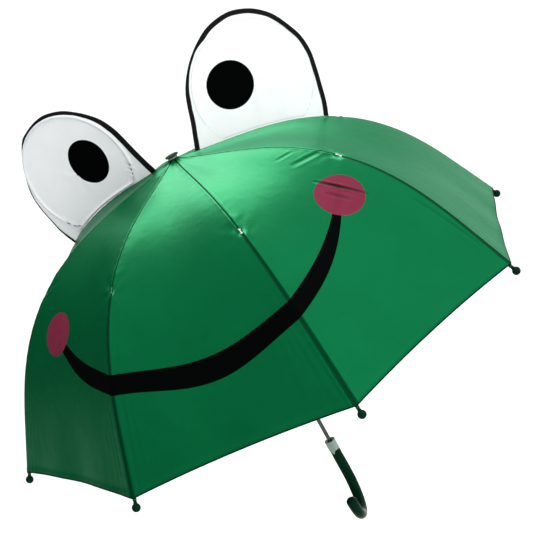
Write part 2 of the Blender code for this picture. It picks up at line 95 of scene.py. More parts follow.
# Shares of the seam at which things sit on it: the edge of the hole round the shaft, the stretcher joint, the
# tie stitches and the outer rib's end. The ribs run RIB_DROP below the cloth.
HOLE_SHARE, JOINT_SHARE, TIE_SHARE, RIB_END_SHARE = 4.2 / SEAM_MM, 0.4397, 0.4935, 0.9771
RIB_DROP = 3.5 * MM
WHITE_TIES = (3, 4)  # the other ribs' ties are in green thread

# Folds in the cloth of gore 3, in millimetres from the crown: two ends, half width and depth. DOME_MIDDLE is
# the point that the canopy curves round.
FOLDS = (
    ((150, -101, -50), (194, -76, -55), 3.4, 0.9),
    ((134, -87, -40), (158, -72, -42), 2.6, 0.5),
    ((170, -126, -70), (227, -136, -113), 1.9, 2.0),
    ((178, -128, -76), (205, -134, -96), 2.6, 0.9),
    ((178, -141, -86), (208, -146, -107), 2.6, 0.8),
    ((263, -124, -131), (322, -141, -226), 2.4, 0.5),
)
DOME_MIDDLE = (0, 0, -250)
# How strongly the folds' grooves are darkened with painted shade
FOLD_SHADE = 0.4

# Cloth
CLOTH_MM, HEM_CLOTH_MM, EYE_CLOTH_MM, STRAP_MM = 0.35, 0.9, 0.25, 0.9
TIE_THREAD_R, CORNER_THREAD_R = 0.38 * MM, 0.22 * MM
HEM_BAND_MM, ALLOWANCE_MM, STITCH_MM = 4.5, 4.5, 2.6
SEAM_ROUND_MM = 1.6
CROSS_ROWS = {"inner": 30, "outer": 38}
COLUMNS, COLUMN_POWER = 24, 1.6

# For each zone of the half gores: the angle between its width and the rib's sideways direction,
# and its normal's outward and upward part
INNER_LEAN, OUTER_LEAN = (math.radians(6.0), 0.255, 0.967), (math.radians(17.8), 0.78, 0.62)

# Prints, in millimetres from the crown
CHEEKS = (((195, -141, -96), 30.5), ((-196, -153, -104), 27.5))
# The mouth's edges: height as a polynomial in the square of the distance to the middle, in decimetres
MOUTH_UPPER, MOUTH_LOWER = (-160.3, 24.6, -9.1, 1.9), (-185.5, 32.8, -14.2, 2.84)
MOUTH_LEAN, MOUTH_END = (-0.045, 0.0214), 198.0
PUPIL_R = 31.5

# Light: where the dome is brightest, and how its strength follows the cosine towards that
DOME_AIM = (0.80, -0.12, 0.64)
DOME_GLOW = (-0.29, 1.0, 0.02, 2.6)
SOFTBOX_PLACE, SOFTBOX_AIM = (-0.05, 1.45, 1.90), (0, 0, 0.45)
SOFTBOX_SIZE, SOFTBOX_WATTS = (1.8, 1.25), 72
FLOOR_TONE, FLOOR_Z, FLOOR_HALF = 0.80, -1.3, 60

# Camera: its place from the crown, and the directions of the picture's right and upper edge
CAMERA_PLACE = (0.4544, -1.6233, 0.3431)
CAMERA_RIGHT, CAMERA_UP = (0.88587, 0.07731, -0.45744), (0.39944, 0.37439, 0.83683)
LENS_MM, SENSOR_MM = 90.16, 36

# Stand-up eyes, in millimetres off the axis and above the crown: the rib, the stretch of the seam below it,
# the outline from the inner to the outer foot, the hoop (middle and half axes), the pupil, the front side's
# sign, and the tape's width at shares of the outline
EYES = {
    "right": (
        5,
        (0.0636, 0.449),
        ((34, 5), (42, 27), (49, 50), (55, 65), (65, 81), (80, 98), (100, 113.5), (122, 124), (149, 127))
        + ((170, 121.5), (188, 111), (204, 94.5), (217, 70), (223.5, 52), (225.6, 30), (223, 9), (218.5, -15))
        + ((213.4, -39),),
        (138, 31.5, 81.5, 82),
        (110.6, 44.5),
        -1,
        ((0, 6.4), (0.16, 5.6), (0.24, 3.4), (0.31, 3.0), (0.36, 6.4), (0.8, 6.2), (1, 6.6)),
    ),
    "left": (
        8,
        (0.0723, 0.49),
        ((41.7, 10), (49.3, 30.5), (56.2, 50.7), (62, 64), (73, 80), (89, 93), (105, 102.3), (126, 111))
        + ((153, 114.5), (175, 111), (196, 103), (213, 92.6), (230.8, 68), (241, 46), (248, 22), (247.8, -1))
        + ((242.1, -24.3), (236.2, -44.4)),
        (153.5, 24, 88, 83),
        (126.3, 35.1),
        1,
        ((0, 8.6), (0.2, 8.0), (0.27, 5.6), (0.33, 4.6), (0.4, 6.4), (0.6, 6.4), (0.7, 3.0), (0.75, 1.7))
        + ((0.9, 2.0), (1, 4.6)),
    ),
}
HOOP_LIFT = 3 * MM
CORNER_BEND = (8 * MM, 0, -9 * MM)  # the step from the stretcher joint to the end of the left eye's corner bend

# Handle
COLLAR_LOW, COLLAR_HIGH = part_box("collar")[0].z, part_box("collar")[1].z
HANDLE_R, NECK_R, BORE_R = 7.3 * MM, 5.4 * MM, 3.1 * MM
HOOK_START = CROWN - 509 * MM
HOOK_R, HOOK_DEPTH = 41.5 * MM, 39.5 * MM
HOOK_AZIMUTH = math.radians(6)


# ---- Materials ----


class Field:
    """The value of a node's socket, which takes part in plain arithmetic."""

    def __init__(self, nodes, socket):
        self.nodes, self.socket = nodes, socket

    def __add__(self, other):
        return self.nodes.math("ADD", self, other)

    def __sub__(self, other):
        return self.nodes.math("SUBTRACT", self, other)

    def __rsub__(self, other):
        return self.nodes.math("SUBTRACT", other, self)

    def __mul__(self, other):
        return self.nodes.math("MULTIPLY", self, other)

    def __truediv__(self, other):
        return self.nodes.math("DIVIDE", self, other)

    def __abs__(self):
        return self.nodes.math("ABSOLUTE", self)

    __radd__, __rmul__ = __add__, __mul__


class Nodes:
    """The node tree of a material or world, with short names for making its nodes."""

    def __init__(self, owner, shader):
        owner.use_nodes = True
        self.made, self.tree = owner, owner.node_tree
        self.shader = self.tree.nodes[shader]

    def feed(self, socket, value):
        """Wires a field to an input, or sets the input to a plain value."""
        if isinstance(value, Field):
            self.tree.links.new(value.socket, socket)
        else:
            socket.default_value = value

    def wire(self, socket, value):
        self.feed(self.shader.inputs[socket], value)

    def node(self, kind, inputs, out=0, **settings):
        """Makes a node and gives one of its outputs."""
        made = self.tree.nodes.new("ShaderNode" + kind)
        for key, value in settings.items():
            setattr(made, key, value)
        for key, value in inputs.items():
            self.feed(made.inputs[key], value)
        return Field(self, made.outputs[out])

    def math(self, operation, first, second=0.0):
        return self.node("Math", {0: first, 1: second}, operation=operation)

    def larger(self, first, second):
        return self.math("MAXIMUM", first, second)

    def vector(self, operation, first, second, out="Vector"):
        return self.node("VectorMath", {0: first, 1: second}, out, operation=operation)

    def inside(self, value, soft=0.25):
        """1 where the value is above zero and 0 where it is below, over a soft edge."""
        inputs = {"Value": value, "From Min": -soft, "From Max": soft}
        return self.node("MapRange", inputs, interpolation_type="SMOOTHSTEP")

    def mix(self, share, first, second):
        """A colour between two colours."""
        return self.node("Mix", {0: share, 6: first, 7: second}, 2, data_type="RGBA")

    def blend(self, share, first, second):
        """A number between two numbers."""
        return self.node("Mix", {0: share, 2: first, 3: second}, data_type="FLOAT")

    def noise(self, where, scale, detail=3.0):
        return self.node("TexNoise", {"Vector": where, "Scale": scale, "Detail": detail}, "Fac")

    def wave(self, where, scale, direction):
        return self.node("TexWave", {"Vector": where, "Scale": scale}, "Fac", bands_direction=direction)

    def attribute(self, name):
        return self.node("Attribute", {}, "Vector", attribute_name=name)

    def parts(self, vector):
        split = self.node("SeparateXYZ", {0: vector}).socket.node
        return [Field(self, socket) for socket in split.outputs]

    def place(self, out="Object"):
        return self.node("TexCoord", {}, out)

    def bump(self, height, distance, strength=1.0, after=None):
        inputs = {"Height": height, "Distance": distance, "Strength": strength}
        if after:
            inputs["Normal"] = after
        return self.node("Bump", inputs, "Normal")


class Look(Nodes):
    """One procedural material."""

    def __init__(self, name, roughness, metallic=0.0, **sockets):
        super().__init__(bpy.data.materials.new(name), "Principled BSDF")
        for key, value in {"Roughness": roughness, "Metallic": metallic, **sockets}.items():
            self.wire(key.replace("_", " "), value)


def weave(look, pitch_mm, where):
    """A height field of crossing threads, over coordinates in millimetres."""
    scale = 1 / (pitch_mm * math.tau / 2)
    return look.larger(look.wave(where, scale, "X"), look.wave(where, scale, "Y"))


SATIN_DEEP, SATIN_LIGHT = (0.0006, 0.072, 0.022, 1), (0.0012, 0.114, 0.037, 1)
# Dark green of the seams and stitches, also used for painted shade in the folds and along the seams
SEAM_AND_SHADE_DARK = (0.0004, 0.012, 0.005, 1)
PINK, PINK_DEEP = (0.17, 0.021, 0.046, 1), (0.12, 0.015, 0.034, 1)
INK = (0.0012, 0.0014, 0.0014, 1)
EYE_WHITE, EYE_SHADE = (0.87, 0.89, 0.90, 1), (0.70, 0.72, 0.76, 1)


def curve_height(square, edge):
    """The polynomial edge at the given square, by Horner's rule."""
    height = edge[-1]
    for term in reversed(edge[:-1]):
        height = height * square + term
    return height


def pulled_fold(look, rest, start, end, width):
    """A fold's groove from 0 to 1, with low ridges beside it, along the cloth between two points."""
    start, end = Vector(start), Vector(end)
    span = end - start
    aside = span.cross((start + end) / 2 - Vector(DOME_MIDDLE)).normalized()
    offset = look.vector("SUBTRACT", rest, start)
    along = look.vector("DOT_PRODUCT", offset, span / span.length_squared, "Value")
    along = look.node("Clamp", {"Value": along})
    gap = abs(look.vector("DOT_PRODUCT", offset, aside, "Value"))
    groove = look.inside(width - gap, width)
    ridge = look.inside(1.8 * width - gap, 1.4 * width)
    return (1.6 * groove - 0.6 * ridge) * (4.0 * along * (1.0 - along))


def satin(name, printed):
    """Green satin. The outer face carries the printed smile and cheeks; the inner face shows them faintly."""
    look = Look(name, 0.4, 0.0, Specular_Tint=(0.34, 1.0, 0.70, 1))
    rest, thread = look.attribute("rest_mm"), look.attribute("weave_mm")
    side, hem, along = look.parts(look.attribute("marks_mm"))
    tone = look.blend(0.35, look.noise(rest, 0.018, 2.0), look.noise(rest, 0.6))
    streaks = look.noise(look.vector("MULTIPLY", thread, (1.6, 0.05, 1)), 1.0)
    tone = look.blend(0.25, tone, streaks)
    colour = look.mix(tone, SATIN_DEEP, SATIN_LIGHT)

    seam_line = look.inside(0.9 - side, 0.4)
    # Past the tie the seam allowance shows as a darker strip; its widening towards the hem is painted shadow
    # where the seam dips between gores
    half = 2.4 + 0.006 * look.larger(along, 0.0)
    allowance_and_shadow = look.inside(half - side, 0.7) * look.inside(along, 4.0)
    hem_fold = look.inside(2.0 - hem, 0.5)
    dark = 0.9 * look.larger(look.larger(seam_line, hem_fold), 0.75 * allowance_and_shadow)
    colour = look.mix(dark, colour, SEAM_AND_SHADE_DARK)

    dash = look.math("FRACT", look.parts(thread)[0] / STITCH_MM)
    row = look.inside(0.3 - abs(hem - 3.6), 0.12)
    stitch = row * look.inside(dash - 0.28, 0.06)
    colour = look.mix(0.6 * stitch, colour, SEAM_AND_SHADE_DARK)

    x, y, z = look.parts(rest)
    cheek = 0.0
    for centre, radius in CHEEKS:
        reach = look.vector("DISTANCE", rest, centre, "Value")
        cheek = look.larger(cheek, look.inside(radius - reach))
    square = x * x * 0.0001
    z = z - x * curve_height(square, MOUTH_LEAN)
    mouth = 1.0
    for limit in (
        curve_height(square, MOUTH_UPPER) - z,
        z - curve_height(square, MOUTH_LOWER),
        MOUTH_END - abs(x),
        -1.0 * y,
    ):
        mouth = mouth * look.inside(limit)
    shown = 1.0 if printed else 0.25
    pink = look.mix(look.noise(rest, 0.08), PINK_DEEP, PINK)
    colour = look.mix(mouth * shown, colour, INK)
    colour = look.mix(cheek * shown, colour, pink)
    folds = sum(depth * pulled_fold(look, rest, *fold) for *fold, depth in FOLDS)
    # Painted shade: the folds' grooves are darkened towards the dark seam colour
    shade = FOLD_SHADE * look.larger(folds, 0.0)
    look.wire("Base Color", look.mix(shade, colour, SEAM_AND_SHADE_DARK))

    ink = shown * look.larger(mouth, 0.82 * cheek)
    dull = look.larger(0.94 * ink, dark)
    look.wire("Roughness", look.blend(dull, look.blend(look.noise(rest, 0.25), 0.30, 0.38), 0.5))
    look.wire("Specular IOR Level", look.blend(dull, 0.07, 0.0))
    look.wire("Metallic", look.blend(dull, 0.40, 0.0))
    fine = look.bump(weave(look, 0.42, thread), 0.00003, 0.35)
    relief = look.noise(rest, 0.05) - 0.3 * stitch
    soft = look.bump(relief, 0.0009, 0.5, fine)
    look.wire("Normal", look.bump(-1.0 * folds, 0.001, 1.0, soft))
    return look.made


def eye_cloth(name, printed):
    """White polyester taffeta over a wire hoop, with a round black print on the front."""
    look = Look(name, 0.6, Specular_IOR_Level=0.2)
    spot = look.attribute("pupil_mm")
    _, from_hoop, _ = look.parts(look.attribute("marks_mm"))
    colour = look.mix(0.45 * look.noise(spot, 0.03), EYE_WHITE, EYE_SHADE)
    # Painted shadow: a faint grey line on the cloth where the hoop lies under it
    line = look.inside(0.9 - abs(from_hoop), 0.7)
    colour = look.mix(0.32 * line, colour, (0.3, 0.33, 0.36, 1))
    if printed:
        pupil = look.inside(PUPIL_R - look.vector("LENGTH", spot, (0, 0, 0), "Value"))
        colour = look.mix(pupil, colour, INK)
        look.wire("Specular IOR Level", look.blend(pupil, 0.2, 0.0))
    look.wire("Base Color", colour)
    fine = look.bump(weave(look, 0.5, spot), 0.00004, 0.5)
    look.wire("Normal", look.bump(look.noise(spot, 0.06), 0.0008, 0.45, fine))
    return look.made


def tape():
    """Black ribbed binding tape with a row of stitches."""
    look = Look("black_binding", 0.62, Specular_IOR_Level=0.1)
    place = look.attribute("weave_mm")
    along, _, from_edge = look.parts(place)
    ribs = look.math("SINE", along * (math.tau / 0.8))
    dash = look.math("FRACT", along / STITCH_MM)
    row = look.inside(0.28 - abs(from_edge - 1.1), 0.1)
    stitch = row * look.inside(dash - 0.25, 0.06)
    colour = look.mix(look.noise(place, 0.4, 2.0), (0.0012, 0.0012, 0.0012, 1), (0.004, 0.004, 0.0042, 1))
    look.wire("Base Color", look.mix(stitch, colour, (0.009, 0.009, 0.0095, 1)))
    look.wire("Normal", look.bump(0.3 * ribs - 1.2 * stitch, 0.00012, 0.7))
    return look.made


def moulded(name, dark, light, roughness, speck=0.04, **sockets):
    """Injection-moulded plastic: a slow drift of tone, flow marks and fine scuffs."""
    look = Look(name, roughness, **sockets)
    place = look.place()
    tone = look.noise(place, 45.0, 4.0)
    scuffs = look.noise(look.vector("MULTIPLY", place, (1, 1, 0.12)), 900.0)
    look.wire("Base Color", look.mix(look.blend(0.3, tone, scuffs), dark, light))
    wear = look.node("MapRange", {"Value": scuffs, "From Min": 0.5, "From Max": 0.8, "To Max": 0.14})
    base = look.blend(look.noise(place, 120.0), roughness - speck, roughness + speck)
    look.wire("Roughness", base + wear)
    look.wire("Normal", look.bump(look.noise(place, 260.0, 4.0), 0.00006, 0.5))
    return look.made


def metal(name, dark, light, roughness, metallic, brushed):
    """Drawn steel or coated wire: lengthwise drawing lines, stains and rubbed spots."""
    look = Look(name, roughness, metallic)
    place = look.place()
    stretch = look.vector("MULTIPLY", place, (1, 1, 1 - brushed))
    lines = look.noise(stretch, 1500.0, 2.0)
    stains = look.noise(place, 90.0, 4.0)
    look.wire("Base Color", look.mix(look.blend(0.45, stains, lines), dark, light))
    look.wire("Roughness", look.blend(stains, roughness - 0.08, roughness + 0.14))
    look.wire("Normal", look.bump(lines, 0.00003, 0.6))
    return look.made


def thread(name, dark, light):
    """Twisted sewing thread."""
    look = Look(name, 0.6, Sheen_Weight=0.3)
    place = look.place()
    twist = look.wave(place, 900.0, "DIAGONAL")
    # The twist's grooves are darker in colour as well as in the bump: painted shade
    look.wire("Base Color", look.mix(look.blend(0.5, twist, look.noise(place, 500.0)), dark, light))
    look.wire("Normal", look.bump(twist, 0.00008, 0.8))
    return look.made


SATIN = satin("green_satin_outside", True)
LINING = satin("green_satin_inside", False)
EYE_FRONT = eye_cloth("eye_cloth_front", True)
EYE_BACK = eye_cloth("eye_cloth_back", False)
TAPE = tape()
greens = (0.0006, 0.010, 0.0045, 1), (0.0012, 0.024, 0.0105, 1)
GREEN_PLASTIC = moulded("green_plastic_look", *greens, 0.16, Specular_IOR_Level=0.02)
pales = (0.22, 0.32, 0.27, 1), (0.42, 0.55, 0.48, 1)
PALE_PLASTIC = moulded("pale_plastic_look", *pales, 0.3, Transmission_Weight=0.35, IOR=1.49)
blacks = (0.006, 0.006, 0.006, 1), (0.018, 0.018, 0.019, 1)
BLACK_PLASTIC = moulded("black_plastic_look", *blacks, 0.42, Specular_IOR_Level=0.3)
STEEL = metal("steel_look", (0.03, 0.036, 0.034, 1), (0.08, 0.088, 0.085, 1), 0.2, 1.0, 0.96)
DARK_STEEL = metal("dark_steel_look", (0.022, 0.024, 0.024, 1), (0.075, 0.08, 0.08, 1), 0.36, 0.85, 0.6)
WHITE_THREAD = thread("white_thread", (0.62, 0.68, 0.64, 1), (0.88, 0.92, 0.89, 1))
GREEN_THREAD = thread("green_thread", (0.003, 0.075, 0.032, 1), (0.008, 0.16, 0.07, 1))
BLACK_THREAD = thread("dark_thread", (0.004, 0.02, 0.011, 1), (0.01, 0.04, 0.02, 1))


# ---- Mesh helpers ----


def added(name, data):
    """A new object of the scene, which shows the given mesh, lamp or camera."""
    obj = bpy.data.objects.new(name, data)
    bpy.context.scene.collection.objects.link(obj)
    return obj


def linked(name, mesh, look, body):
    """Makes the piece and gives it its material. It rides on its body when that is a name, and is otherwise
    left unattached.
    """
    if look:
        mesh.materials.append(look)
    obj = added(name, mesh)
    if isinstance(body, str):
        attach(obj, body)
    else:
        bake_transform(obj)
    return obj


def tube_faces(rows, sides):
    """The quads of a tube of rings, and its two end caps."""
    caps = [tuple(range(sides)), tuple(range((rows - 1) * sides, rows * sides))]
    return [tuple(f) for f in grid_faces(rows, sides, False, True)] + caps


def grid_faces(rows, columns, closed_rows=False, closed_columns=False):
    """Quads of a grid of points, which may close on itself either way."""
    index = np.arange(rows * columns).reshape(rows, columns)
    if closed_rows:
        index = np.vstack([index, index[:1]])
    if closed_columns:
        index = np.hstack([index, index[:, :1]])
    corners = (index[:-1, :-1], index[:-1, 1:], index[1:, 1:], index[1:, :-1])
    return np.stack(corners, -1).reshape(-1, 4)


def solid_mesh(name, points, faces, sharp=40):
    """A closed mesh with outward faces, shaded smooth but for its sharp edges."""
    mesh = bpy.data.meshes.new(name)
    mesh.from_pydata([tuple(p) for p in points], [], [tuple(f) for f in faces])
    shape = bmesh.new()
    shape.from_mesh(mesh)
    bmesh.ops.remove_doubles(shape, verts=shape.verts, dist=0.000001)
    bmesh.ops.recalc_face_normals(shape, faces=shape.faces)
    shape.to_mesh(mesh)
    shape.free()
    mesh.shade_smooth()
    mesh.set_sharp_from_angle(angle=math.radians(sharp))
    return mesh


def filleted(profile, steps=5):
    """The points of a closed profile whose corners are given as (radius, height, rounding in millimetres)."""
    made = []
    for i, (*corner, rounding) in enumerate(profile):
        corner = Vector(corner)
        if rounding == 0:
            made.append(tuple(corner))
            continue
        before = (Vector(profile[i - 1][:2]) - corner).normalized()
        after = (Vector(profile[(i + 1) % len(profile)][:2]) - corner).normalized()
        reach = rounding * MM / math.tan(before.angle(after) / 2)
        for share in np.linspace(0, 1, steps):
            start, end = corner + before * reach, corner + after * reach
            first, second = start.lerp(corner, share), corner.lerp(end, share)
            made.append(tuple(first.lerp(second, share)))
    return made


def revolved(name, profile, steps=64, matrix=None, shaped=None, sharp=40):
    """A closed profile turned about Z. shaped(r, z, angle) may change each point's radius and height."""
    turns = np.arange(steps) * math.tau / steps
    points = []
    for r, z in profile:
        for turn in turns:
            radius, height = shaped(r, z, turn) if shaped else (r, z)
            points.append((radius * math.cos(turn), radius * math.sin(turn), height))
    mesh = solid_mesh(name, points, grid_faces(len(profile), steps, True, True), sharp)
    # a profile that starts and ends on the axis leaves flat faces there
    shape = bmesh.new()
    shape.from_mesh(mesh)
    bmesh.ops.dissolve_degenerate(shape, dist=0.0000005, edges=shape.edges)
    shape.to_mesh(mesh)
    shape.free()
    if matrix:
        mesh.transform(matrix)
    return mesh


def thread_along(line, radius, sides):
    """The points and faces of a round thread, without twist from one ring to the next."""
    turns = np.arange(sides) * math.tau / sides
    points = []
    last = len(line) - 1
    normal = (line[1] - line[0]).orthogonal()
    for i, place in enumerate(line):
        tangent = (line[min(i + 1, last)] - line[max(i - 1, 0)]).normalized()
        normal = (normal - tangent * normal.dot(tangent)).normalized()
        other = tangent.cross(normal)
        points += [place + (normal * math.cos(t) + other * math.sin(t)) * radius for t in turns]
    return points, tube_faces(last + 1, sides)


def azimuth(rib):
    return FIRST_RIB + (rib - 1) * RIB_STEP


def outward(rib):
    return Vector((math.sin(azimuth(rib)), -math.cos(azimuth(rib)), 0))


def sideways(rib):
    return Vector((math.cos(azimuth(rib)), math.sin(azimuth(rib)), 0))


def radial(angle):
    """The rotation that turns the drawing plane (X outward, Z up) to an azimuth."""
    return Matrix.Rotation(angle - math.pi / 2, 4, "Z")


# ---- The canopy's surface ----

SHARES = np.linspace(0, 1, 1001)
_bend = np.clip((SHARES - BEND_START) / (BEND_END - BEND_START), 0, 1)
SLOPES = CROWN_SLOPE + (HEM_SLOPE - CROWN_SLOPE) * _bend**2 * (3 - 2 * _bend)
SLOPES = SLOPES + CROWN_LIFT * np.clip(1 - SHARES / LIFT_SPAN, 0, 1) ** 2
_step = SEAM_LENGTH / (len(SHARES) - 1)
_middle = (SLOPES[1:] + SLOPES[:-1]) / 2
SEAM_R = np.concatenate([[0], np.cumsum(np.cos(_middle) * _step)])
SEAM_Z = CROWN - np.concatenate([[0], np.cumsum(np.sin(_middle) * _step)])


def seam(share, lift=0.0):
    """A point of the drawing plane on the seam, or that far outside it along its normal."""
    angle = float(np.interp(share, SHARES, SLOPES))
    x = float(np.interp(share, SHARES, SEAM_R)) + lift * math.sin(angle)
    z = float(np.interp(share, SHARES, SEAM_Z)) + lift * math.cos(angle)
    return Vector((x, 0, z))


def width_mm(share):
    """The gore's width between its two seams."""
    return 2 * np.interp(share, SHARES, SEAM_R) * math.sin(RIB_STEP / 2) / MM


def ruled(gore, share, across):
    """The plain canopy: straight threads from seam to seam, with the hem cut in between."""
    share = share * (1 - HEM_SCALLOP * 4 * across * (1 - across))
    r, z = np.interp(share, SHARES, SEAM_R), np.interp(share, SHARES, SEAM_Z)
    start, end = azimuth(gore), azimuth(gore + 1)
    x = r * ((1 - across) * math.sin(start) + across * math.sin(end))
    y = -r * ((1 - across) * math.cos(start) + across * math.cos(end))
    return np.stack([x, y, z], -1)


def normals_of(surface, gore, share, across):
    """Outward unit normals of a surface, from small steps along and across it."""
    step = 0.002
    low, high = np.maximum(share - step, 0.001), np.minimum(share + step, 1)
    left, right = np.maximum(across - step, 0), np.minimum(across + step, 1)
    along = surface(gore, high, across) - surface(gore, low, across)
    over = surface(gore, share, right) - surface(gore, share, left)
    normal = np.cross(along, over)
    for edge, rib in ((across < step / 2, gore), (across > 1 - step / 2, gore + 1)):
        flat = np.array(sideways(rib))
        normal = np.where(edge[..., None], normal - (normal @ flat)[..., None] * flat, normal)
    return normal / np.linalg.norm(normal, axis=-1, keepdims=True)


def relief_mm(gore, share, across):
    """How far the cloth stands off the ruled canopy: rounded seams, tie puckers, soft folds and slack."""
    side = np.minimum(across, 1 - across) * width_mm(share)
    along = (share - TIE_SHARE) * SEAM_MM
    past_joint = (share - JOINT_SHARE) * SEAM_MM
    from_crown = share * SEAM_MM
    slope = np.interp(share, SHARES, SLOPES)
    crease = np.tan(RIB_STEP / 2 * np.sin(slope))
    height = -crease * (np.hypot(side, SEAM_ROUND_MM) - side)
    height += -0.45 * np.exp(-((side / 0.8) ** 2)) + 0.22 * np.exp(-(((side - 2.6) / 1.4) ** 2))
    off_seam = 1 - np.exp(-side / 2.0)
    # puckers drawn in by the tie just outside the stretcher joint
    reach = np.hypot(along, side)
    turn = np.arctan2(along, side)
    height += -1.5 * np.exp(-((reach / 5.0) ** 2))
    height += 0.75 * np.exp(-reach / 16) * np.cos(5 * turn + 0.6 * gore) * off_seam
    # the joint's clip lifts the cloth a little, and a crease runs off it
    height += 0.5 * np.exp(-((past_joint / 9) ** 2) - (side / 6) ** 2)
    height += 0.5 * np.exp(-(((past_joint - 0.35 * side) / 3.5) ** 2) - side / 12) * off_seam
    # ripples where the seam's stitching draws the cloth up
    ripple = np.sin(from_crown * math.tau / 16 + 1.7 * gore + 2.2 * np.sin(from_crown / 37 + gore))
    height += 0.2 * np.exp(-side / 7) * off_seam * ripple
    # creases that fan out from the cap
    fan = np.sin(across * math.tau * 3 + 1.3 * gore) * np.exp(-from_crown / 26)
    height += 0.5 * fan * off_seam
    # slack in the middle of the gore, and long shallow folds towards the hem
    middle = np.sin(math.pi * across)
    height += -3.0 * middle**2 * np.sin(math.pi * np.clip(share, 0, 1)) ** 1.5
    flute = np.sin(across * math.tau * 2.5 + 2.1 * gore) * np.clip((share - 0.7) / 0.3, 0, 1) ** 2
    height += 0.9 * flute * middle
    pull = np.cos(side * math.tau / 9 + gore) * np.exp(-side / 16) * np.clip((share - 0.5) / 0.4, 0, 1)
    height += 0.25 * pull * off_seam
    sway = np.sin(from_crown / 41 + 1.9 * gore) * np.sin(math.tau * across + 0.8 * gore)
    height += 0.7 * sway * middle * np.clip(share / 0.3, 0, 1)
    return height


def draped(gore, share, across):
    """The finished outer face. The turned-up hem is a second layer, so it stands a little proud."""
    from_hem = (1 - share) * SEAM_MM
    hem_lift = 0.25 * np.clip((HEM_BAND_MM + 0.4 - from_hem) / 0.8, 0, 1)
    lift = (relief_mm(gore, share, across) + hem_lift) * MM
    return ruled(gore, share, across) + normals_of(ruled, gore, share, across) * lift[..., None]


def mark(mesh, name, values):
    """Stores a vector at each point of the mesh, for the materials to read."""
    layer = mesh.attributes.new(name, "FLOAT_VECTOR", "POINT")
    layer.data.foreach_set("vector", np.asarray(values, np.float32).ravel())


def cloth_shell(name, points, normals, faces, thickness, looks, fields):
    """A closed thin piece of cloth: the outer points, the same points pushed inwards, and a rim."""
    points, normals = points.reshape(-1, 3), normals.reshape(-1, 3)
    count = len(points)
    faces = [tuple(int(i) for i in f) for f in faces]
    first, second, third = (points[[f[i] for f in faces]] for i in range(3))
    if np.sum(np.cross(second - first, third - first) * normals[[f[0] for f in faces]]) < 0:
        faces = [f[::-1] for f in faces]
    edges = {(f[i - 1], f[i]) for f in faces for i in range(len(f))}
    border = sorted(edge for edge in edges if edge[::-1] not in edges)
    back = [tuple(i + count for i in f[::-1]) for f in faces]
    rim = [(end, start, start + count, end + count) for start, end in border]
    mesh = bpy.data.meshes.new(name)
    inside = points - normals * thickness.reshape(-1, 1)
    mesh.from_pydata([tuple(p) for p in (*points, *inside)], [], faces + back + rim)
    mesh.shade_smooth()
    turned_away = np.vstack([normals, -normals])
    shown = [tuple(turned_away[i]) for f in faces + back for i in f]
    mesh.normals_split_custom_set(shown + [(0, 0, 0)] * (4 * len(rim)))
    for key, values in fields.items():
        mark(mesh, key, [values, values])
    inner = np.zeros(len(mesh.polygons), np.int32)
    inner[len(faces) :] = 1
    mesh.polygons.foreach_set("material_index", inner)
    for look in looks:
        mesh.materials.append(look)
    return mesh


def half_gore(rib, side, zone):
    """Half of a gore beside a rib, either inside or outside the stretcher joint."""
    gore = rib if side > 0 else (rib - 2) % RIB_COUNT + 1
    if zone == "inner":
        body, joint, (lean, out, up) = f"rib_{rib}", f"rib_{rib}_fold", INNER_LEAN
        shares = np.linspace(HOLE_SHARE, JOINT_SHARE, CROSS_ROWS[zone])
        middle = JOINT_SHARE / 2
    else:
        body, joint, (lean, out, up) = f"outer_rib_{rib}", f"outer_rib_{rib}_flex", OUTER_LEAN
        hem = 1 - np.array([HEM_BAND_MM + 0.6, HEM_BAND_MM - 0.4, 1.2, 0.5, 0.0]) / SEAM_MM
        shares = np.concatenate([np.linspace(JOINT_SHARE, hem[0], CROSS_ROWS[zone])[:-1], hem])
        middle = (1 + JOINT_SHARE) / 2
    columns = 0.5 * np.linspace(0, 1, COLUMNS + 1) ** COLUMN_POWER
    share, across = np.meshgrid(shares, columns if side > 0 else 1 - columns, indexing="ij")
    points = draped(gore, share, across)
    normals = normals_of(draped, gore, share, across)
    width = width_mm(share)
    seam_mm = np.minimum(across, 1 - across) * width
    along_mm = (share - TIE_SHARE) * SEAM_MM
    hem_mm = (1 - share) * SEAM_MM
    from_axis = (across - 0.5) * width
    edge = np.clip((0.7 - hem_mm) / 0.7, 0, 1)
    doubled = np.clip(HEM_BAND_MM + 0.4 - hem_mm, 0, 1) * (1 - 0.6 * edge)
    thick = CLOTH_MM + (HEM_CLOTH_MM - CLOTH_MM) * doubled
    thick += 0.3 * np.clip(ALLOWANCE_MM - seam_mm, 0, 1)
    fields = {
        "rest_mm": (points - (0, 0, CROWN)) / MM,
        "marks_mm": np.stack([seam_mm, hem_mm, along_mm], -1),
        "weave_mm": np.stack([from_axis, share * SEAM_MM, 0 * share + 90 * gore], -1),
    }
    name = f"canopy_{rib}_{zone}_{'a' if side > 0 else 'b'}"
    faces = grid_faces(*share.shape)
    mesh = cloth_shell(name, points, normals, faces, thick * MM, (SATIN, LINING), fields)
    piece = linked(name, mesh, None, body)
    normal = outward(rib) * out + Vector((0, 0, up))
    axis = sideways(rib) * side * math.cos(lean) - normal * math.sin(lean)
    radial(azimuth(rib)) @ seam(middle)
    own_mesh(piece)
    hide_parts(f"canopy_{rib}")
    long = float(shares[-1] - shares[0]) * SEAM_LENGTH
    narrow, wide = width_mm(shares[0]) / 2 * MM, width_mm(shares[-1]) / 2 * MM
    area = max((narrow + wide) / 2 * long, 0.31 * wide * long)


def make_canopy():
    for rib in RIBS:
        for side in (1, -1):
            for zone in ("inner", "outer"):
                half_gore(rib, side, zone)


# ---- Stand-up eyes ----


def distance_to(points, line):
    """Distance of flat points from a polyline."""
    best = np.full(len(points), 1e9)
    for start, end in zip(line[:-1], line[1:]):
        span = end - start
        share = np.clip(((points - start) @ span) / (span @ span), 0, 1)
        best = np.minimum(best, np.linalg.norm(points - start - share[:, None] * span, axis=1))
    return best


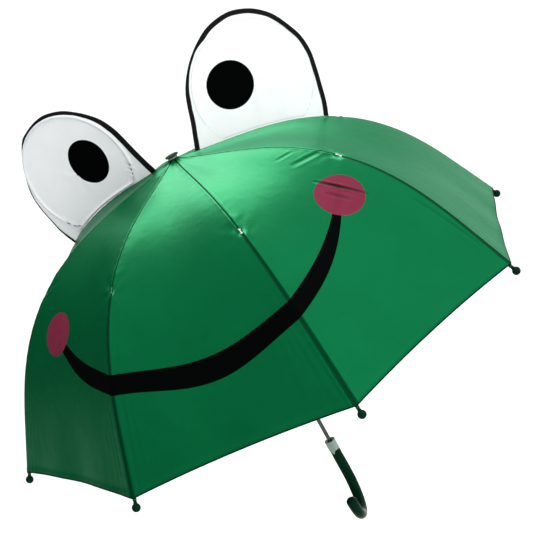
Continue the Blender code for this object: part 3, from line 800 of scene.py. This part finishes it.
def curve_through(points, count):
    """Evenly spaced points on a smooth open curve through the given ones."""
    points = np.array(points, float)
    padded = np.vstack([2 * points[0] - points[1], points, 2 * points[-1] - points[-2]])
    made = []
    for i in range(len(points) - 1):
        a, b, c, d = padded[i : i + 4]
        for t in np.linspace(0, 1, 16, endpoint=False):
            bent = (2 * a - 5 * b + 4 * c - d) * t**2 + (3 * b - a - 3 * c + d) * t**3
            made.append(b + 0.5 * ((c - a) * t + bent))
    made = np.array([*made, points[-1]])
    travelled = np.concatenate([[0], np.cumsum(np.linalg.norm(np.diff(made, axis=0), axis=1))])
    wanted = np.linspace(0, travelled[-1], count)
    return np.stack([np.interp(wanted, travelled, made[:, k]) for k in (0, 1)], -1)


def eye_outline(side):
    """(x, z) points of an eye's free edge, from its inner to its outer foot, and of its base."""
    _, (inner, outer), points, *_ = EYES[side]
    feet = [seam(share, 0.4 * MM) for share in (inner, outer)]
    middle = [(x * MM, CROWN + z * MM) for x, z in points]
    edge = curve_through([(feet[0].x, feet[0].z), *middle, (feet[1].x, feet[1].z)], 132)
    base = [seam(share, 0.4 * MM) for share in np.linspace(outer, inner, 36)[1:-1]]
    return edge, np.array([(p.x, p.z) for p in base])


def left_of(line):
    """Unit normals on the left side of a flat line."""
    along = np.gradient(line, axis=0)
    normal = np.stack([-along[:, 1], along[:, 0]], -1)
    return normal / np.linalg.norm(normal, axis=1, keepdims=True)


def inwards(edge):
    """Unit normals of an eye's edge, towards its middle."""
    normal = left_of(edge)
    facing = np.sum(normal * (edge.mean(axis=0) - edge), axis=1) > 0
    return np.where(facing[:, None], normal, -normal)


def hoop_line(side):
    """The hoop's closed loop, as the CAD hoop has it: an ellipse that the seam flattens from below."""
    middle_x, middle_z, half_x, half_z = (value * MM for value in EYES[side][3])
    turns = np.linspace(0, math.tau, 121)
    x, z = middle_x + half_x * np.cos(turns), CROWN + middle_z + half_z * np.sin(turns)
    return np.stack([x, np.maximum(z, np.interp(x, SEAM_R, SEAM_Z) + HOOP_LIFT)], -1)


def eye_body(side):
    """What an eye rides on. The left one's corner lies past the stretcher joint, so for it this gives both
    ribs and the ends of its bend.
    """
    rib, (_, outer) = EYES[side][:2]
    if outer < TIE_SHARE - 0.02:
        return f"rib_{rib}"
    joint = seam(JOINT_SHARE)
    start, end = (radial(azimuth(rib)) @ (joint + Vector(step)) for step in ((0, 0, 0), CORNER_BEND))
    return f"rib_{rib}", f"outer_rib_{rib}", start, end


def eye_layer(side, way):
    """One layer of an eye's fabric pocket: way is 1 on the hoop's side and -1 on the plain side."""
    rib, _, _, hoop, pupil, front, _ = EYES[side]
    edge, base = eye_outline(side)
    outline = np.vstack([edge + inwards(edge) * 1.0 * MM, base])
    centre = np.array([hoop[0] * MM, CROWN + hoop[1] * MM])
    steps = np.concatenate([np.linspace(0, 0.2, 17), np.linspace(0.2, 0.95, 20)[1:]])
    flat = np.vstack([*(outline + (centre - outline) * t for t in steps), centre[None]])
    rim, from_hoop = distance_to(flat, edge) / MM, distance_to(flat, hoop_line(side)) / MM
    turn = np.arctan2(flat[:, 1] - centre[1], flat[:, 0] - centre[0])
    inner = np.clip((rim - 10) / 22, 0, 1)
    slack = 0.5 * np.sin(3 * turn + 1.1 * rib) + 0.35 * np.sin(7 * turn + 0.4 * rib + rim / 18)
    height = 0.35 + 0.45 * np.clip(rim / 9, 0, 1) + slack * inner * (0.6 + 0.4 * np.sin(rim / 13))
    if way > 0:
        height += 2.3 * np.exp(-((from_hoop / 1.9) ** 2)) + 0.5 * inner
    height = np.maximum(height, 0.3)
    count = len(outline)
    local = np.stack([flat[:, 0], way * height * MM, flat[:, 1]], -1)
    faces = [tuple(f) for f in grid_faces(len(steps), count, False, True)]
    last = (len(steps) - 1) * count
    faces += [(last + i, last + (i + 1) % count, last + count) for i in range(count)]
    turned = radial(azimuth(rib)).to_3x3()
    points = np.array([turned @ Vector(p) for p in local])
    normals = face_normals(points, faces, np.array(turned @ Vector((0, way, 0))))
    spot = np.stack([flat[:, 0] / MM - pupil[0], (flat[:, 1] - CROWN) / MM - pupil[1], 0 * rim], -1)
    fields = {"pupil_mm": spot, "marks_mm": np.stack([rim, from_hoop, 0 * rim], -1)}
    thick = np.full(len(points), EYE_CLOTH_MM * MM)
    name = f"eye_{side}_{'front' if way == front else 'back'}"
    looks = (EYE_FRONT if way == front else EYE_BACK, EYE_BACK)
    mesh = cloth_shell(name, points, normals, faces, thick, looks, fields)
    return linked(name, mesh, None, eye_body(side))


def face_normals(points, faces, towards):
    """Vertex normals, from the faces round each point, all on the side that towards names."""
    total = np.zeros_like(points)
    for face in faces:
        a, b, c = points[list(face[:3])]
        normal = np.cross(b - a, c - a)
        normal = normal if normal @ towards > 0 else -normal
        for corner in face:
            total[corner] += normal
    return total / np.linalg.norm(total, axis=1, keepdims=True)


def eye_binding(side):
    """The folded tape round an eye's edge, which closes both layers between its two sides."""
    rib, *_, tape_widths = EYES[side]
    edge, _ = eye_outline(side)
    turned = radial(azimuth(rib)).to_3x3()
    ways = inwards(edge)
    shares, widths = zip(*tape_widths)
    half_t = 1.05
    turns = np.radians(np.arange(90, 271, 30))
    points, marks, travelled = [], [], 0.0
    for i, place in enumerate(edge):
        wide = float(np.interp(i / (len(edge) - 1), shares, widths)) + 0.12 * math.sin(i * 0.7)
        section = [(half_t + half_t * math.cos(t), half_t * math.sin(t)) for t in turns]
        flank = [(x, half_t * (1 - 0.1 * x / wide)) for x in np.linspace(min(1.5, wide - 0.1), wide, 5)]
        section += [(x, -off) for x, off in flank] + flank[::-1]
        travelled += np.linalg.norm(place - edge[max(i - 1, 0)]) / MM
        for across, off in section:
            flat = place + ways[i] * across * MM
            points.append(turned @ Vector((flat[0], off * MM, flat[1])))
            marks.append((travelled, across, wide - across))
    mesh = solid_mesh(f"eye_{side}_binding", points, tube_faces(len(edge), len(section)), 55)
    if len(mesh.vertices) != len(marks):
        raise ValueError("the tape's points were merged, so its marks no longer fit")
    mark(mesh, "weave_mm", marks)
    return linked(f"eye_{side}_binding", mesh, TAPE, eye_body(side))


def make_eyes():
    for side, (*_, front, _) in EYES.items():
        plain, pocket = eye_layer(side, -1), eye_layer(side, 1)
        binding = eye_binding(side)
        shown = pocket if front > 0 else plain
        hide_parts(f"eye_{side}")
        outline = np.vstack(eye_outline(side))


# ---- Ties, tips and strap ----


def make_ties():
    """The thread that ties each seam to its rib just outside the stretcher joint."""
    strands = (((-6.0, -0.5), (1.2, 0.6)), ((-5.2, 0.6), (1.5, -0.5)))
    strands += (((-0.4, -1.6), (0.6, 1.9)), ((-6.2, -1.0), (-5.0, 1.3)))
    for rib in RIBS:
        points, faces = [], []
        looks = (WHITE_THREAD, "white_cloth") if rib in WHITE_TIES else (GREEN_THREAD, "green_satin")
        for start, end in strands:
            line = []
            for t in np.linspace(0, 1, 11):
                along, over = Vector(start).lerp(Vector(end), t)
                lift = 0.25 - 0.18 * abs(over) - 1.5 * math.exp(-((math.hypot(along, over) / 5.0) ** 2))
                lift += 0.30 * math.sin(math.pi * t)
                place = seam(TIE_SHARE + along / SEAM_MM, lift * MM)
                line.append(radial(azimuth(rib)) @ (place + Vector((0, over * MM, 0))))
            more, quads = thread_along(line, TIE_THREAD_R, 8)
            faces += [tuple(len(points) + i for i in f) for f in quads]
            points += more
        mesh = solid_mesh(f"tie_{rib}", points, faces)
        linked(f"tie_{rib}", mesh, looks[0], f"outer_rib_{rib}")


def make_tips():
    """The ball tips on the ribs' ends, and the dark thread on their stems that holds the cloth's corners."""
    root = seam(RIB_END_SHARE, -RIB_DROP)
    slope = float(SLOPES[-1])
    centre = seam(1, -RIB_DROP - 0.2 * MM) + 10 * MM * Vector((math.cos(slope), 0, -math.sin(slope)))
    aim, reach = (centre - root).normalized(), (centre - root).length
    ball, stem, low = 5.2 * MM, 2.1 * MM, 1.2 * MM
    turns = np.linspace(0, math.pi - math.asin(stem / ball) - 0.12, 22)
    profile = [(ball * math.sin(t), reach + ball * math.cos(t)) for t in turns]
    profile += [(stem + 0.15 * MM, reach - ball - 0.4 * MM), (stem, reach - ball - 1.6 * MM)]
    profile += [(stem, low + 0.3 * MM), (stem - 0.3 * MM, low), (1.5 * MM, low)]
    profile += [(1.5 * MM, 13 * MM), (0, 13 * MM)]
    pointing = Matrix.Translation(root) @ aim.to_track_quat("Z", "Y").to_matrix().to_4x4()
    for rib in RIBS:
        mesh = revolved(f"tip_look_{rib}", profile, 40, radial(azimuth(rib)) @ pointing, None, 50)
        tip = linked(f"ball_tip_{rib}", mesh, GREEN_PLASTIC, f"outer_rib_{rib}")
        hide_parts(f"tip_{rib}")

    aside = Vector((0, 1, 0))
    over = aim.cross(aside).normalized()
    winding = []
    for t in np.linspace(0, 3 * math.tau, 61):
        off = (over * math.cos(t) + aside * math.sin(t)) * 2.32 * MM
        winding.append(root + aim * (11.2 + 0.5 * t / math.tau) * MM + off)
    for rib in RIBS:
        line = [radial(azimuth(rib)) @ place for place in winding]
        mesh = solid_mesh(f"corner_thread_{rib}", *thread_along(line, CORNER_THREAD_R, 6))
        linked(f"corner_thread_{rib}", mesh, BLACK_THREAD, f"outer_rib_{rib}")


def make_strap():
    """The tie strap on rib 7: two layers of satin, folded at both ends, with a pressed snap."""
    rib, low, high, half, rows = 7, 0.76, 0.975, 8.0, 40
    turned = radial(azimuth(rib)).to_3x3()
    across = np.array([-1, -0.985, -0.93, -0.85, -0.6, -0.3, 0, 0.3, 0.6, 0.85, 0.93, 0.985, 1]) * half
    points, marks = [], []
    for share in np.linspace(low, high, rows):
        for over in across:
            edge = 0.4 * min(1.0, (half - abs(over)) / 0.5)
            ends = 0.2 * min(1.0, (share - low) / 0.006, (high - share) / 0.006)
            lift = 1.2 + edge + ends + 0.25 * math.sin(share * 95) * (over / half) ** 2
            points.append(turned @ (seam(share, lift * MM) + Vector((0, over * MM, 0))))
            marks.append((over, (share - low) * SEAM_MM, half - abs(over)))
    points, marks = np.array(points), np.array(marks)
    faces = grid_faces(rows, len(across))
    normals = face_normals(points, faces, np.array(turned @ Vector((0.8, 0, 0.6))))
    off = np.full(len(marks), 50.0)
    fields = {
        "rest_mm": np.stack([marks[:, 0], off * 2, marks[:, 1]], -1),
        "marks_mm": np.stack([off, marks[:, 2] + 2.0, -off], -1),
        "weave_mm": marks,
    }
    thick = np.full(len(points), STRAP_MM * MM)
    mesh = cloth_shell("tie_strap_cloth", points, normals, faces, thick, (SATIN, SATIN), fields)
    strap = linked("tie_strap_cloth", mesh, None, f"outer_rib_{rib}")
    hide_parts("tie_strap")
    share = high - 0.02
    lean = Matrix.Rotation(float(np.interp(share, SHARES, SLOPES)), 4, "Y")
    place = radial(azimuth(rib)) @ Matrix.Translation(seam(share, 1.4 * MM)) @ lean
    stud = [(0, 1.9), (1.2, 1.9), (1.5, 1.6), (2.3, 1.6), (2.6, 1.9), (4.2, 1.5), (4.9, 0.9)]
    stud += [(5.0, 0.2), (4.7, 0), (0, 0)]
    mesh = revolved("snap_look", [(r * MM, z * MM) for r, z in stud], 48, place, None, 50)
    snap = linked("snap_stud", mesh, BLACK_PLASTIC, f"outer_rib_{rib}")
    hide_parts("strap_snap")


# ---- Crown and handle ----


def make_crown():
    (_, _, low), (edge, _, high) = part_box("top_cap")
    dish, inside = high - 0.15 * MM, high - 0.8 * MM
    profile = [(0, dish, 0), (edge - 2.6 * MM, dish, 0.2), (edge - 2.2 * MM, high, 0.2), (edge, high, 0.5)]
    profile += [(edge, low, 0.3), (BORE_R, low, 0.15), (BORE_R, inside, 0), (0, inside, 0)]
    mesh = revolved("top_cap_look", filleted(profile), 96, None, None, 50)
    cap = linked("top_cap_disc", mesh, GREEN_PLASTIC, "shaft")
    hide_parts("top_cap")

    (_, _, low), (outer, _, high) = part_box("spacer_ring")
    teeth = 12

    def castellated(r, z, turn):
        cut = 0.5 + 0.5 * math.tanh(4 * math.sin(teeth * turn))
        return (r - 1.1 * MM * cut if r > BORE_R + MM and z > low + 0.5 * MM else r), z

    profile = [(outer, high, 0.25), (outer, low + 0.6 * MM, 0), (outer, low, 0.2)]
    profile += [(BORE_R, low, 0.2), (BORE_R, high, 0.2)]
    mesh = revolved("spacer_look", filleted(profile), 192, None, castellated)
    spacer = linked("spacer_crown", mesh, PALE_PLASTIC, "shaft")
    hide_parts("spacer_ring")


def handle_radius(travelled, total):
    """The crook's radius along its length: a slight waist under the collar and a domed end."""
    left, dome = total - travelled, HANDLE_R * 0.92
    if left < dome:
        return HANDLE_R * math.sqrt(max(0.0, 1 - ((dome - left) / dome) ** 2))
    return HANDLE_R * (1 - 0.035 * math.exp(-(((travelled - 6 * MM) / (9 * MM)) ** 2)))


def make_handle():
    """The crook: shoulder and neck, then the straight grip, the half-round hook and a domed end."""
    shoulder = COLLAR_LOW - 0.3 * MM
    line = [(0, shoulder - z * MM) for z in (0, 0.25, 0.6, 1.2, 2.4, 5, 9, 14, 20, 26, 32, 38)]
    for t in np.linspace(0, math.pi, 49):
        line.append((HOOK_R * (1 - math.cos(t)), HOOK_START - HOOK_DEPTH * math.sin(t)))
    rises = (0.8, 1.6, 2.4, 3.2, 4.0, 4.7, 5.3, 5.8, 6.15, 6.38, 6.5)
    line += [(2 * HOOK_R, HOOK_START + z * MM) for z in rises]
    line = np.array(line)
    steps = np.concatenate([[0], np.cumsum(np.linalg.norm(np.diff(line, axis=0), axis=1))])
    degrees = np.array([*np.linspace(2, 178, 23), 180, *np.linspace(182, 358, 23), 360])
    angles = np.radians(degrees)
    # the mould's parting line stands a little proud on both sides
    ridge = np.where(degrees % 180 == 0, 0.10 * MM, 0.0)
    rings = []
    for (x, z), aside, far in zip(line, left_of(line), steps):
        radius = handle_radius(far, steps[-1]) - max(0.0, 1 - far / (0.8 * MM)) ** 2 * 0.6 * MM
        radii = radius + ridge * min(1.0, radius / HANDLE_R)
        off = radii * np.sin(angles)
        rings.append(np.stack([x + aside[0] * off, radii * np.cos(angles), z + aside[1] * off], -1))
    neck_top, floor = COLLAR_HIGH - 6 * MM, CROWN - 501 * MM
    neck = [(NECK_R, shoulder), (NECK_R, neck_top - 0.4 * MM), (NECK_R - 0.4 * MM, neck_top)]
    neck += [(BORE_R, neck_top), (BORE_R, floor)]
    inner = [np.stack([r * np.sin(angles), r * np.cos(angles), 0 * angles + z], -1) for r, z in neck]
    stations = [*inner[::-1], *rings]
    points = np.concatenate(stations) @ np.array(radial(HOOK_AZIMUTH).to_3x3()).T
    mesh = solid_mesh("handle_look", points, tube_faces(len(stations), len(angles)), 45)
    handle = linked("crook_handle", mesh, GREEN_PLASTIC, "shaft")
    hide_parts("handle")
    drill_pin_hole(handle)


def drill_pin_hole(handle):
    """The cross hole in which the handle's pin sits, cut into the crook's mesh."""
    low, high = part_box("handle_pin")
    along = Vector((math.cos(HOOK_AZIMUTH), math.sin(HOOK_AZIMUTH), 0))
    place = Matrix.Translation((low + high) / 2) @ along.to_track_quat("Z", "Y").to_matrix().to_4x4()
    rod = [(r * MM, z * MM) for r, z in ((0, 15), (1.25, 15), (1.25, -15), (0, -15))]
    cutter = added("pin_hole", revolved("pin_hole", rod, 32, place))
    cut = handle.modifiers.new("pin_hole", "BOOLEAN")
    cut.operation = "DIFFERENCE"
    cut.solver = "EXACT"
    cut.object = cutter
    bpy.context.view_layer.update()
    done = bpy.data.meshes.new_from_object(handle.evaluated_get(bpy.context.evaluated_depsgraph_get()))
    handle.modifiers.clear()
    handle.data = done
    done.shade_smooth()
    done.set_sharp_from_angle(angle=math.radians(45))
    bpy.data.objects.remove(cutter)


def make_collar():
    """The pale open cup round the handle's neck, with its pointed tongue over the grip."""
    bore, wall, seat = 5.7 * MM, 7.7 * MM, HANDLE_R + 0.08 * MM
    tongue_at, tongue_half, tongue_long = math.radians(-102), math.radians(26), 5.2 * MM

    def tongued(r, z, turn):
        off = abs((turn - tongue_at + math.pi) % math.tau - math.pi) / tongue_half
        if z < COLLAR_LOW + 0.4 * MM and r > HANDLE_R and off < 1:
            return r, z - tongue_long * (1 - off) ** 1.2
        return r, z

    low, high = COLLAR_LOW, COLLAR_HIGH
    profile = [(wall, high, 0.5), (wall - 0.15 * MM, low + 6 * MM, 0), (wall, low + 2 * MM, 0)]
    profile += [(wall + 0.1 * MM, low, 0.15), (seat, low, 0.1), (seat, low + 0.9 * MM, 0)]
    profile += [(bore, low + 0.9 * MM, 0.1), (bore, high - 1.2 * MM, 0.3), (bore + 0.7 * MM, high, 0.3)]
    mesh = revolved("collar_look", filleted(profile), 144, None, tongued)
    collar = linked("collar_cup", mesh, PALE_PLASTIC, "shaft")
    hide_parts("collar")


# ---- Carried-over CAD nodes ----


def dress_cad_nodes():
    """Every CAD node that stays visible gets its procedural material."""
    looks = {
        "green_satin": LINING,
        "green_plastic": GREEN_PLASTIC,
        "pale_plastic": PALE_PLASTIC,
        "black_plastic": BLACK_PLASTIC,
        "steel": STEEL,
        "dark_steel": DARK_STEEL,
        "white_cloth": EYE_BACK,
    }
    slots = {row["node"]: row["material_slot"] for row in frame["record"]["subparts"]}
    for name, node in frame["nodes"].items():
        node.data.materials.clear()
        node.data.materials.append(looks[slots[name]])


# ---- Stage, camera and light ----


def make_softbox():
    """The large lamp behind the canopy. The right eye's pieces throw no shadow in its light."""
    lamp = bpy.data.lights.new("back_softbox", "AREA")
    lamp.shape = "RECTANGLE"
    lamp.size, lamp.size_y = SOFTBOX_SIZE
    lamp.energy = SOFTBOX_WATTS
    softbox = added("back_softbox", lamp)
    softbox.location = SOFTBOX_PLACE
    softbox.rotation_mode = "QUATERNION"
    aim = Vector(SOFTBOX_AIM) - Vector(SOFTBOX_PLACE)
    softbox.rotation_quaternion = aim.to_track_quat("-Z", "Y")
    blockers = bpy.data.collections.new("no_shadow_from_back_softbox")
    for piece in bpy.data.objects:
        if "right" in piece.name:
            blockers.objects.link(piece)
    for held in blockers.collection_objects:
        held.light_linking.link_state = "EXCLUDE"
    softbox.light_linking.blocker_collection = blockers


def make_world():
    """A studio dome that is bright above and to the right, and dim to the left and below."""
    world = bpy.data.worlds.new("studio")
    bpy.context.scene.world = world
    dome = Nodes(world, "Background")
    facing = dome.vector("DOT_PRODUCT", dome.place("Generated"), Vector(DOME_AIM).normalized(), "Value")
    limits = dict(zip(("From Min", "From Max", "To Min", "To Max"), DOME_GLOW))
    dome.wire("Strength", dome.node("MapRange", {"Value": facing, **limits}))
    dome.wire("Color", (1, 1, 1, 1))


def make_stage():
    mesh = bpy.data.meshes.new("floor")
    corners = [(x * FLOOR_HALF, y * FLOOR_HALF, 0) for x, y in ((-1, -1), (1, -1), (1, 1), (-1, 1))]
    mesh.from_pydata(corners, [], [(0, 1, 2, 3)])
    look = Look("floor", 0.9)
    dark, light = ((tone, tone, tone, 1) for tone in (FLOOR_TONE, FLOOR_TONE + 0.03))
    look.wire("Base Color", look.mix(look.noise(look.place(), 0.8), dark, light))
    mesh.materials.append(look.made)
    floor = added("floor", mesh)
    floor.location.z = FLOOR_Z
    make_world()
    make_softbox()
    view = bpy.context.scene.view_settings
    view.view_transform = "Standard"
    view.look = "None"


def make_camera():
    lens = bpy.data.cameras.new("camera")
    lens.lens, lens.sensor_width = LENS_MM, SENSOR_MM
    lens.clip_start, lens.clip_end = 0.01, 200
    camera = added("camera", lens)
    right, up = Vector(CAMERA_RIGHT), Vector(CAMERA_UP)
    turn = Matrix((right, up, right.cross(up))).transposed().to_4x4()
    camera.matrix_world = Matrix.Translation((0, 0, CROWN)) @ Matrix.Translation(CAMERA_PLACE) @ turn
    bpy.context.scene.camera = camera


make_camera()
make_canopy()
make_eyes()
make_ties()
make_tips()
make_strap()
make_crown()
make_handle()
make_collar()
dress_cad_nodes()
make_stage()
